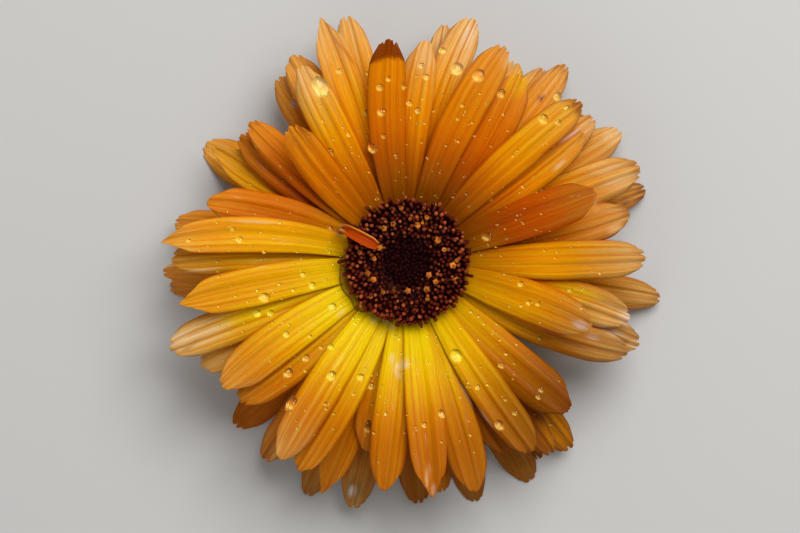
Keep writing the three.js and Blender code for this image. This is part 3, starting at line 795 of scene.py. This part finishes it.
# Colours of the disc, from the foot of a floret up; a few tubes have painted highlights on their tips
CORE_COLOUR = (0.035, 0.004, 0.002)
BUD_COLOURS = [(0.004, 0.0005, 0.0005), (0.016, 0.0012, 0.0012)]
STAR_COLOURS = [(0.10, 0.012, 0.003), (0.75, 0.235, 0.03), (0.50, 0.14, 0.015)]
TUBE_COLOURS = [(0.026, 0.002, 0.0015), (0.10, 0.012, 0.006)]
HIGHLIGHT_TIP = (0.50, 0.115, 0.03)
HIGHLIGHT_RIM_TIP = (0.40, 0.08, 0.02)

# Places of the open florets, in pixels of the photograph
OPEN_FLORETS = [
    (395, 230), (386, 234), (379, 240), (389, 247), (364, 256), (376, 261), (373, 274), (378, 280),
    (393, 286), (410, 288), (410, 303), (424, 287), (424, 294), (433, 280), (444, 280), (430, 270),
    (450, 264), (447, 263), (439, 249), (432, 246), (424, 236), (417, 235), (424, 225), (375, 294),
    (386, 294), (402, 217),
]

# Outlines of a floret: radius, height and how deeply five lobes cut it, from the foot up
TUBE = [
    (0.0, -0.5, 0), (0.12, -0.5, 0), (0.14, 0.1, 0), (0.16, 0.5, 0.04), (0.2, 0.8, 0.08), (0.23, 0.98, 0.12),
    (0.22, 1.12, 0.16), (0.15, 1.22, 0.2), (0.07, 1.22, 0.1), (0.0, 1.16, 0),
]
BUD = [
    (0.0, -0.5, 0), (0.2, -0.5, 0), (0.27, 0.05, 0), (0.31, 0.35, 0.04), (0.3, 0.58, 0.09),
    (0.23, 0.76, 0.14), (0.13, 0.86, 0.2), (0.05, 0.88, 0.1), (0.0, 0.87, 0),
]
STAR = [
    (0.0, -0.5, 0), (0.17, -0.5, 0), (0.2, 0.3, 0), (0.25, 0.75, 0.03), (0.34, 0.98, 0.12), (0.41, 1.1, 0.16),
    (0.38, 1.2, 0.14), (0.24, 1.14, 0.1), (0.15, 1.2, 0), (0.14, 1.4, 0), (0.08, 1.48, 0), (0.0, 1.5, 0),
]


def disc_height(radius):
    return np.interp(radius, DISC_FACE[:, 0], DISC_FACE[:, 1])


def floret(outline_of, size, stretch, spin, bend):
    """Points and faces of a floret standing on the origin; it bends over as it rises."""
    section = np.array(outline_of)
    angles = np.arange(FLORET_SIDES) * 2 * math.pi / FLORET_SIDES
    lobes = 1 + section[1:-1, 2][:, None] * np.cos(5 * angles)
    radius = section[1:-1, 0][:, None] * lobes * size
    height = np.repeat(section[1:-1, 1:2], FLORET_SIDES, 1) * stretch
    sag = bend * np.clip(height, 0, None) ** 2
    points = np.stack([radius * np.cos(angles + spin) + sag, radius * np.sin(angles + spin), height], -1)
    tip = section[-1, 1] * stretch
    ends = [[0, 0, section[0, 1] * stretch], [bend * max(0, tip) ** 2, 0, tip]]
    _, faces = turned(section[:, :2], FLORET_SIDES)
    return np.concatenate([points.reshape(-1, 3), ends]), faces


def planted(points, lean, tilt, azimuth, radius, height):
    """A floret's points leaned outwards and set on the disc."""
    out = radius + points[:, 0] * math.cos(lean) + points[:, 2] * math.sin(lean)
    aside = points[:, 1] + tilt * np.clip(points[:, 2], 0, None)
    up = height + points[:, 2] * math.cos(lean) - points[:, 0] * math.sin(lean)
    return spun(out, aside, up, azimuth)


def tube_colour(rise, highlight_tip, share, rng):
    """Colour of a tubular floret, whose tip carries a painted highlight on a few and has a share of its
    colour.
    """
    foot, dark_tip = TUBE_COLOURS
    tip = mixed(dark_tip, highlight_tip, rng.uniform(0, 1) ** 4) * share
    return mixed(foot, tip, smooth((rise - 0.85) / 0.3))


def spiral_florets(shapes, rng):
    """Florets over the whole disc, in a golden-angle spiral."""
    number = np.arange(DISC_FLORETS)
    radius = DISC_SPREAD * np.sqrt((number + 0.5) / DISC_FLORETS) + rng.normal(0, 0.05, DISC_FLORETS)
    radius = np.clip(radius, 0.05, DISC_SPREAD)
    azimuth = np.radians(number * GOLDEN_ANGLE) + rng.normal(0, 0.05, DISC_FLORETS) / np.maximum(radius, 1)
    x, y = radius * np.cos(azimuth), radius * np.sin(azimuth)
    places = (np.array(OPEN_FLORETS) - DISC_PIXEL) * (PIXEL, -PIXEL)
    is_open = {int(np.argmin(np.hypot(x - px, y - py))) for px, py in places}
    for k in range(DISC_FLORETS):
        share = radius[k] / DISC_SPREAD
        grow = rng.uniform(0.8, 1.2)
        spin = rng.uniform(0, 2 * math.pi)
        tilt = rng.normal(0, TILT)
        if k in is_open:
            kind, outline_of, size, stretch = "star", STAR, 0.86 * grow, 1.15 * grow
            tilt = rng.normal(0, OPEN_TILT)
        elif radius[k] < BUD_ZONE:
            kind, outline_of, size, stretch = "bud", BUD, 1.12 * grow, 0.75 * grow
        else:
            kind, outline_of, size = "tube", TUBE, lerp(0.9, 1.0, share) * grow
            stretch = lerp(0.7, 1.0, share) * rng.uniform(0.7, 1.3)
        points, faces = floret(outline_of, size, stretch, spin, 0.10 * share)
        lean = math.radians(DISC_LEAN) * share**2.2 + tilt
        placed = planted(points, lean, tilt, azimuth[k], radius[k], disc_height(radius[k]))
        rise = points[:, 2] / stretch
        if kind == "star":
            foot, lobe, style = STAR_COLOURS
            colour = mixed(foot, lobe, smooth((rise - 0.6) / 0.45))
            colour = mixed(colour, style, smooth((rise - 1.22) / 0.1)) * rng.uniform(0.5, 1.1)
        elif kind == "bud":
            colour = mixed(*BUD_COLOURS, smooth((rise - 0.3) / 0.4)) * rng.uniform(0.6, 1.5)
        else:
            colour = tube_colour(rise, HIGHLIGHT_TIP, smooth((radius[k] - 1.8) / 2.6), rng)
            # Painted light: tubes near the rim on the side away from the main light are made lighter
            shaded_side = 0.5 - 0.5 * math.cos(azimuth[k] - math.radians(LIGHT_FROM))
            colour = colour * (1 + 0.6 * shaded_side * smooth((share - 0.7) / 0.2))
        shapes[kind].add(placed, faces, colour)


def rim_florets(shapes, rng):
    """Rows of tubular florets that lean out over the rim of the disc."""
    for foot, height, lean, shift in RIM_ROWS:
        for k in range(RIM_FLORETS):
            grow = rng.uniform(0.8, 1.15)
            stretch = RIM_STRETCH * grow
            points, faces = floret(TUBE, grow, stretch, rng.uniform(0, 2 * math.pi), 0)
            colour = tube_colour(points[:, 2] / stretch, HIGHLIGHT_RIM_TIP, 1, rng)
            angle = (k + shift + rng.uniform(-0.25, 0.25)) * 2 * math.pi / RIM_FLORETS
            lean_now = math.radians(lean + rng.uniform(-8, 8))
            placed = planted(points, lean_now, rng.normal(0, TILT), angle, foot, height)
            shapes["tube"].add(placed, faces, colour)


def disc_florets(material):
    """The domed core and the florets that stand on it."""
    rng = np.random.default_rng(SEEDS["disc"])
    shapes = {"tube": Shape(), "bud": Shape(), "star": Shape()}
    spiral_florets(shapes, rng)
    rim_florets(shapes, rng)
    for kind, shape in shapes.items():
        shape.piece(f"disc_{kind}s", material, "disc_florets", "maroon_disc")
    points, faces = turned(DISC_CORE, 72)
    core = Shape()
    core.add(points * (CORE_SHARE, CORE_SHARE, 1), faces, CORE_COLOUR)
    core.piece("disc_core", material, "disc_florets", "maroon_disc")


# Involucre
CUP = [
    (0, 0), (2.5, 0), (2.35, 1.3), (3.1, 2.1), (4.6, 3), (5.7, 4.1), (6.3, 5.2), (6.4, 6.2), (0, 6.2),
]
STALK_RIBS = 8
BRACTS = 12
BRACT_WIDTH = 2.3
BRACT_TIP = 0.14
BRACT_KEEL = 0.22
BRACT_HALF = (0.28, 0.12)  # half the thickness at the foot and at the tip
HAIRS = 46  # on a bract

# Rows of bracts: radius and height of the foot and of the tip, sag, and shift
BRACT_ROWS = [((3.9, 2.9), (12.4, 4.7), 0.5, 0), ((5.2, 4.3), (13, 5.5), 0.25, 0.5)]

# Colours of the cup from below up, of the cut stalk from its pith out, and of a bract: its blade,
# its edge, its midrib and its tip
CUP_COLOURS = [(0.105, 0.17, 0.035), (0.20, 0.29, 0.07)]
CUT_COLOURS = [(0.50, 0.55, 0.30), (0.17, 0.26, 0.06)]
BRACT_COLOURS = [(0.13, 0.22, 0.045), (0.27, 0.36, 0.10), (0.30, 0.36, 0.14), (0.20, 0.10, 0.035)]
HAIR_COLOUR = (0.45, 0.50, 0.26)


def green_base(material):
    """The green cup and the cut stub of the stalk, which is ribbed at its foot."""
    points, faces = turned([*subdivided(CUP, 6), CUP[-1]], 96)
    angle = np.arctan2(points[:, 1], points[:, 0])
    fade = np.clip(1 - points[:, 2] / 3, 0, 1)
    points[:, :2] *= (1 + 0.05 * np.cos(STALK_RIBS * angle) * fade)[:, None]
    radius = np.hypot(points[:, 0], points[:, 1])
    cut = (points[:, 2] < 0.01).astype(float)[:, None]
    colour = mixed(*CUP_COLOURS, smooth((points[:, 2] - 0.5) / 4))
    pith = mixed(*CUT_COLOURS, smooth((radius - 1.4) / 0.6))
    base = Shape()
    base.add(points, faces, colour * (1 - cut) + pith * cut)
    base.piece("green_base", material, "involucre", "green_bract")


def hairy_bracts(material):
    """Two rows of pointed bracts, with hairs along their edges and on their undersides."""
    rng = np.random.default_rng(SEEDS["bracts"])
    bracts, hairs = Shape(), Shape()
    rows, columns = 26, 12
    t, u = grid(rows, columns)
    side = np.abs(u)
    blade, edge, midrib, end = BRACT_COLOURS
    for foot, tip, sag, shift in BRACT_ROWS:
        for k in range(BRACTS):
            radius = lerp(foot[0], tip[0], t - 0.04 * side * t)
            height = lerp(foot[1], tip[1], t) - sag * np.sin(math.pi * t) + BRACT_KEEL * side
            height = height + 0.05 * np.cos(4 * math.pi * u) * (1 - t) + 0.05 * waves(6 * t, rng)
            width = BRACT_WIDTH / 2 * lerp(1, BRACT_TIP, t**1.8) * (1 + 0.04 * waves(7 * t, rng))
            half = lerp(*BRACT_HALF, t) * np.sqrt(np.clip(1.05 - side**4, 0, 1))
            angle = math.radians((k + shift) * 360 / BRACTS)
            lower = spun(radius, u * width, height - half, angle)
            upper = spun(radius, u * width, height + half, angle)
            colour = mixed(blade, edge, smooth((side - 0.7) / 0.3))
            colour = mixed(colour, midrib, 0.6 * smooth((0.12 - side) / 0.1))
            colour = mixed(colour, end, smooth((t - 0.9) / 0.1))
            grain = np.stack([u * 0.5, t, np.full(t.shape, 3.3 * k + shift)], -1)
            bracts.add(np.stack([lower, upper]), sheet_faces(rows, columns), both(colour), both(grain))
            for _ in range(HAIRS):
                i, j = rng.integers(2, rows), rng.choice([0, 0, columns, columns, *range(1, columns)])
                aside = 1 if j > columns / 2 else -1
                outwards = np.array([-math.sin(angle), math.cos(angle), 0.0]) * aside
                direction = outwards * rng.uniform(0.2, 1) + [0, 0, -rng.uniform(0.3, 1)]
                hair(hairs, lower[i, j], direction, rng.uniform(0.3, 0.6))
    bracts.piece("bracts", material, "involucre", "green_bract")
    hairs.piece("bract_hairs", material, "involucre", "green_bract")


def hair(shape, root, direction, length):
    """A three-sided hair with a tiny knob of a tip."""
    direction = direction / np.linalg.norm(direction)
    side = np.cross(direction, (0.3, 0.5, 0.8))
    side /= np.linalg.norm(side)
    other = np.cross(direction, side)
    points = []
    for along, radius in ((-0.05, 0.03), (0.75, 0.014), (0.9, 0.03)):
        for k in range(3):
            angle = 2 * math.pi * k / 3
            around = side * math.cos(angle) + other * math.sin(angle)
            points.append(root + direction * length * along + around * radius)
    points.append(root + direction * length)
    faces = [[2, 1, 0]]
    for low in (0, 3):
        faces += [[low + k, low + (k + 1) % 3, low + 3 + (k + 1) % 3, low + 3 + k] for k in range(3)]
    faces += [[6 + k, 6 + (k + 1) % 3, 9] for k in range(3)]
    shape.add(points, faces, HAIR_COLOUR)


# Rain drops: azimuth in degrees, radius and width in pixels of the photograph, and length by width
DROPS = [
    (116.4, 190.6, 16, 1.4), (75.6, 195, 13.5, 1.05), (69, 194, 14, 1.0), (46.4, 192, 10.5, 1.0),
    (42.7, 200, 6.5, 1.0), (60.8, 188, 8, 1.35), (89.3, 155, 7, 1.0), (86, 148, 7, 1.15),
    (84.2, 181.5, 6.5, 1.0), (86, 192, 6, 1.0), (44, 216, 6, 1.0), (37.5, 229, 8, 1.0), (17.4, 82, 9, 1.4),
    (70.5, 162, 5, 1.0), (37, 103, 5, 1.0), (125.2, 131, 9, 1.0), (99, 172, 8, 1.0), (95.9, 179, 6, 1.0),
    (91.3, 171, 5, 1.9), (99.6, 148, 11, 0.7), (105.5, 151, 6, 1.0), (107, 116, 11, 1.0),
    (100.6, 125, 6, 1.0), (109.6, 198, 6, 1.0), (114.8, 137, 5, 1.0), (172.5, 165, 8, 1.0),
    (169.4, 173, 6, 1.0), (174.5, 214, 5, 1.0), (157, 82, 7, 1.1), (187, 103, 6, 1.0), (194, 96, 8, 1.0),
    (194, 144, 10, 1.2), (199, 155, 8, 1.0), (200.5, 143, 8, 1.0), (211, 138, 7, 1.0), (211, 86, 8, 1.2),
    (223, 160, 10, 1.2), (223.4, 137, 8.5, 1.0), (228, 112, 7, 1.0), (230.8, 179, 13, 1.3),
    (236.4, 134, 9.5, 1.25), (248, 122, 8, 1.0), (253.6, 127, 8, 1.0), (297.6, 104, 12, 1.25),
    (348.8, 113, 7, 1.0), (338.8, 119, 4, 1.0), (341.4, 125, 6, 1.0), (342.2, 134, 6, 1.0),
    (350, 162, 6, 1.0), (312.3, 137, 7, 1.0), (299.3, 140.5, 6, 1.0), (316.3, 181, 6, 1.0),
    (314.2, 184, 6, 1.0), (305.5, 181, 6, 1.0), (282.7, 152, 7, 1.4), (276, 160, 6, 1.0),
    (80.5, 210, 7, 1.0), (47.7, 221, 10, 1.1), (256.6, 168.6, 7, 3.0), (299.5, 182.7, 10, 1.2),
]
SMALL_DROPS = [
    (43.5, 216), (85.5, 193), (70.5, 148), (62, 140), (54, 140), (52.5, 162), (71.5, 120), (79, 104),
    (83, 137), (105, 152), (96, 105), (126, 190), (142.5, 186), (180, 186), (190, 127), (194, 115),
    (206, 136), (208, 131), (220, 143), (227, 146), (217.5, 120), (225, 119), (248, 140), (317, 132),
    (310, 195), (311.5, 215), (305.5, 165), (323, 134), (320, 109), (9, 148), (23, 117), (45, 146),
    (65, 150), (67, 128), (57, 172), (102, 190), (121, 160), (123, 110), (113, 96), (259, 170), (262, 150),
    (290, 180), (240, 160), (216, 165), (203, 175), (176, 140), (163, 130), (330, 150), (345, 175),
    (14, 130), (28, 150), (33, 135),
]
SMALL_WIDTHS = (2.6, 4.4)
SMALL_LENGTHS = (1.0, 1.3)
SPRAY = 320  # the finest drops, strewn at random
SPRAY_RADII = (60, 205)
SPRAY_WIDTHS = (1.5, 3.1)
DROP_SECTION = [
    (0, -0.22), (0.90, -0.22), (0.97, -0.05), (1.0, 0.12), (0.98, 0.32), (0.89, 0.55), (0.73, 0.74),
    (0.5, 0.88), (0.26, 0.95), (0, 0.97),
]
DROP_HEIGHT = 0.72
OVERHEAD = 40  # a height over all florets

# The patch of petal under a drop: how far it stands over the petal, its thickness, the step to what
# must be another petal, and the colour of the painted light in it
BED_RISE = 0.012
BED_DEPTH = 0.05
BED_STEP = 0.4
GLOW = (1.0, 0.80, 0.2)

# The water that clings to the disc, painted on a sheet over the petals: azimuth of its middle, half
# its length, where it starts, how far it reaches, and the azimuth at which its edge draws in
FILM_MIDDLE = 204
FILM_SPAN = 34
FILM_START = 7.2
FILM_REACH = 8.95
FILM_DENT = 212


def highest(tree, x, y):
    """The highest point of the ray florets over a place, with its normal and face."""
    hit, normal, face, _ = tree.ray_cast(Vector((x, y, OVERHEAD)), Vector((0, 0, -1)))
    return hit, normal, face


def drop_bed(shape, tree, centre, axes, reach, painted_colour, segments):
    """The patch of petal under a drop, with painted light where the drop would gather the light on its far
    side, and painted shade on its near side and round its edge.
    """
    rings = segments // 4
    light = np.array([math.cos(math.radians(LIGHT_FROM)), math.sin(math.radians(LIGHT_FROM))])
    points, colours = [], []
    for k in range(rings + 1):
        for j in range(segments if k else 1):
            angle = 2 * math.pi * j / segments
            local = np.array([math.cos(angle) * reach[0], math.sin(angle) * reach[1], 0]) * k / rings
            place = centre + local @ axes
            hit, _, _ = highest(tree, place[0], place[1])
            z = centre[2] if hit is None or abs(hit[2] - place[2]) > BED_STEP else hit[2]
            points.append((place[0], place[1], z + BED_RISE))
            facing = float(np.dot((place - centre)[:2], light)) / reach[1]
            # Painted light on the far side of the drop, painted shade on its near side and round its edge
            glow = math.exp(-((facing + 0.5) ** 2) / 0.12) * (1 - 0.6 * (k / rings) ** 4)
            gloom = smooth((facing - 0.05) / 0.8) * 0.62 + 0.25 * smooth((k / rings - 0.82) / 0.18)
            colours.append(mixed(painted_colour * (1 - gloom), GLOW, 0.5 * glow))
    count = len(points)
    low = [(x, y, z - BED_DEPTH) for x, y, z in points]
    faces = []
    for j in range(segments):
        after = (j + 1) % segments
        faces.append([0, 1 + j, 1 + after])
        faces.append([count, count + 1 + after, count + 1 + j])
        for k in range(rings - 1):
            a, b = 1 + k * segments + j, 1 + k * segments + after
            faces.append([a, a + segments, b + segments, b])
            faces.append([count + a, count + b, count + b + segments, count + a + segments])
        a, b = 1 + (rings - 1) * segments + j, 1 + (rings - 1) * segments + after
        faces.append([a, count + a, count + b, b])
    shape.add(points + low, faces, np.array(colours * 2))


def disc_film(shape, surface):
    """A sheet in the petals' finish for the water that clings along the disc: the petals under it are painted
    darker and olive, most so at its edge, for the dark disc seen through the water.
    """
    tree, polygons, painted_colours = surface
    rows, columns = 14, 140
    share, angle = grid(rows, columns)
    azimuth = np.radians(FILM_MIDDLE + FILM_SPAN * angle)
    dent = np.cos(15 * (azimuth - math.radians(FILM_DENT)))
    reach = FILM_REACH - 1.5 * angle**4 - 0.16 * dent + 0.05 * np.sin(23 * azimuth)
    radius = lerp(FILM_START, reach, share)
    x, y = radius * np.cos(azimuth), radius * np.sin(azimuth)
    z, below = np.zeros(x.shape), np.zeros((*x.shape, 3))
    for place in np.ndindex(x.shape):
        hit, _, face = highest(tree, x[place], y[place])
        z[place] = hit[2]
        below[place] = painted_colours[polygons[face]].mean(0)
    for _ in range(3):
        padded = np.pad(z, 1, mode="edge")
        z = np.maximum(z, (padded[1:-1, :-2] + padded[1:-1, 2:] + padded[:-2, 1:-1] + padded[2:, 1:-1]) / 4)
    # Painted darkening, for the dark disc seen through the water
    colour = mixed(below, OLIVE, 0.5 + 0.45 * hump(reach - radius - 0.12, 0.14))
    swell = 0.03 + 0.16 * np.sin(math.pi * share)
    points = [np.stack([x, y, z + up], -1) for up in (-0.06, swell)]
    shape.add(np.stack(points), sheet_faces(rows, columns), both(colour))


def rain_drops(material, petal, surface):
    """Beads of rain, each lying on the highest ray floret under its place."""
    tree, polygons, painted_colours = surface
    rng = np.random.default_rng(SEEDS["rain"])
    drops = list(DROPS)
    for azimuth, radius in SMALL_DROPS:
        drops.append((azimuth, radius, rng.uniform(*SMALL_WIDTHS), rng.uniform(*SMALL_LENGTHS)))
    for _ in range(SPRAY):
        place = rng.uniform(0, 360), rng.uniform(*SPRAY_RADII)
        drops.append((*place, rng.uniform(*SPRAY_WIDTHS), rng.uniform(*SMALL_LENGTHS)))
    beads, beds = Shape(), Shape()
    for azimuth, radius, width, length in drops:
        angle = math.radians(azimuth)
        x, y = radius * PIXEL * math.cos(angle), radius * PIXEL * math.sin(angle)
        hit, normal, face = highest(tree, x, y)
        if hit is None:
            continue
        half = width * PIXEL / 2
        segments = 14 if width < SPRAY_WIDTHS[1] else 28
        points, faces = turned(DROP_SECTION, segments)
        points = points * (half * length, half, half * DROP_HEIGHT)
        across = normal.cross(Vector((math.cos(angle), math.sin(angle), 0))).normalized()
        axes = np.array([across.cross(normal), across, normal])
        beads.add(points @ axes + np.array(hit), faces, WHITE)
        painted_colour = painted_colours[polygons[face]].mean(0)
        drop_bed(beds, tree, np.array(hit), axes, (half * length * 0.9, half * 0.9), painted_colour, segments)
    disc_film(beds, surface)
    piece = beads.piece("rain_drops", material, None, None)
    piece.visible_shadow = False
    beds.piece("lit_under_drops", petal, "ray_florets", "orange_petal")


# Stage, light and camera
FLOOR_HALF = 3.0  # metres
CAMERA_PLACE = (-0.91, -0.585, 600)
VIEW_WIDTH = 104  # of the floor in the picture
SENSOR = 36


def stage():
    n = Nodes("floor")
    n.finish(Base_Color=(0.5, 0.495, 0.485, 1), Roughness=0.7)
    mesh = bpy.data.meshes.new("floor")
    corners = [(-1, -1), (1, -1), (1, 1), (-1, 1)]
    mesh.from_pydata([(x * FLOOR_HALF, y * FLOOR_HALF, 0) for x, y in corners], [], [[0, 1, 2, 3]])
    mesh.materials.append(n.material)
    floor = bpy.data.objects.new("floor", mesh)
    bpy.context.scene.collection.objects.link(floor)


def area_light(name, azimuth, elevation, distance, size, power):
    light = bpy.data.lights.new(name, "AREA")
    light.shape, light.size, light.energy = "DISK", size, power
    lamp = bpy.data.objects.new(name, light)
    a, e = math.radians(azimuth), math.radians(elevation)
    lamp.location = Vector((math.cos(a) * math.cos(e), math.sin(a) * math.cos(e), math.sin(e))) * distance
    lamp.rotation_euler = lamp.location.to_track_quat("Z", "Y").to_euler()
    bpy.context.scene.collection.objects.link(lamp)


def light_and_camera():
    area_light("key", LIGHT_FROM, elevation=58, distance=0.5, size=0.4, power=2.7)
    area_light("fill", azimuth=240, elevation=40, distance=0.6, size=0.5, power=0.5)
    world = bpy.data.worlds.new("studio")
    world.use_nodes = True
    world.node_tree.nodes["Background"].inputs["Color"].default_value = (1.0, 0.97, 0.93, 1)
    world.node_tree.nodes["Background"].inputs["Strength"].default_value = 0.28
    bpy.context.scene.world = world
    bpy.context.scene.view_settings.view_transform = "Standard"
    camera = bpy.data.cameras.new("camera")
    camera.sensor_width = SENSOR
    camera.lens = SENSOR * CAMERA_PLACE[2] / VIEW_WIDTH
    camera.clip_start = 0.01
    seen = bpy.data.objects.new("camera", camera)
    seen.location = [place * MM for place in CAMERA_PLACE]
    bpy.context.scene.collection.objects.link(seen)
    bpy.context.scene.camera = seen


petal = petal_material()
petals = ray_florets(petal)
stray_floret(petal)
collar(petal)
disc_florets(floret_material())
green = green_material()
green_base(green)
hairy_bracts(green)
rain_drops(water_material(), petal, petals)
stage()
light_and_camera()
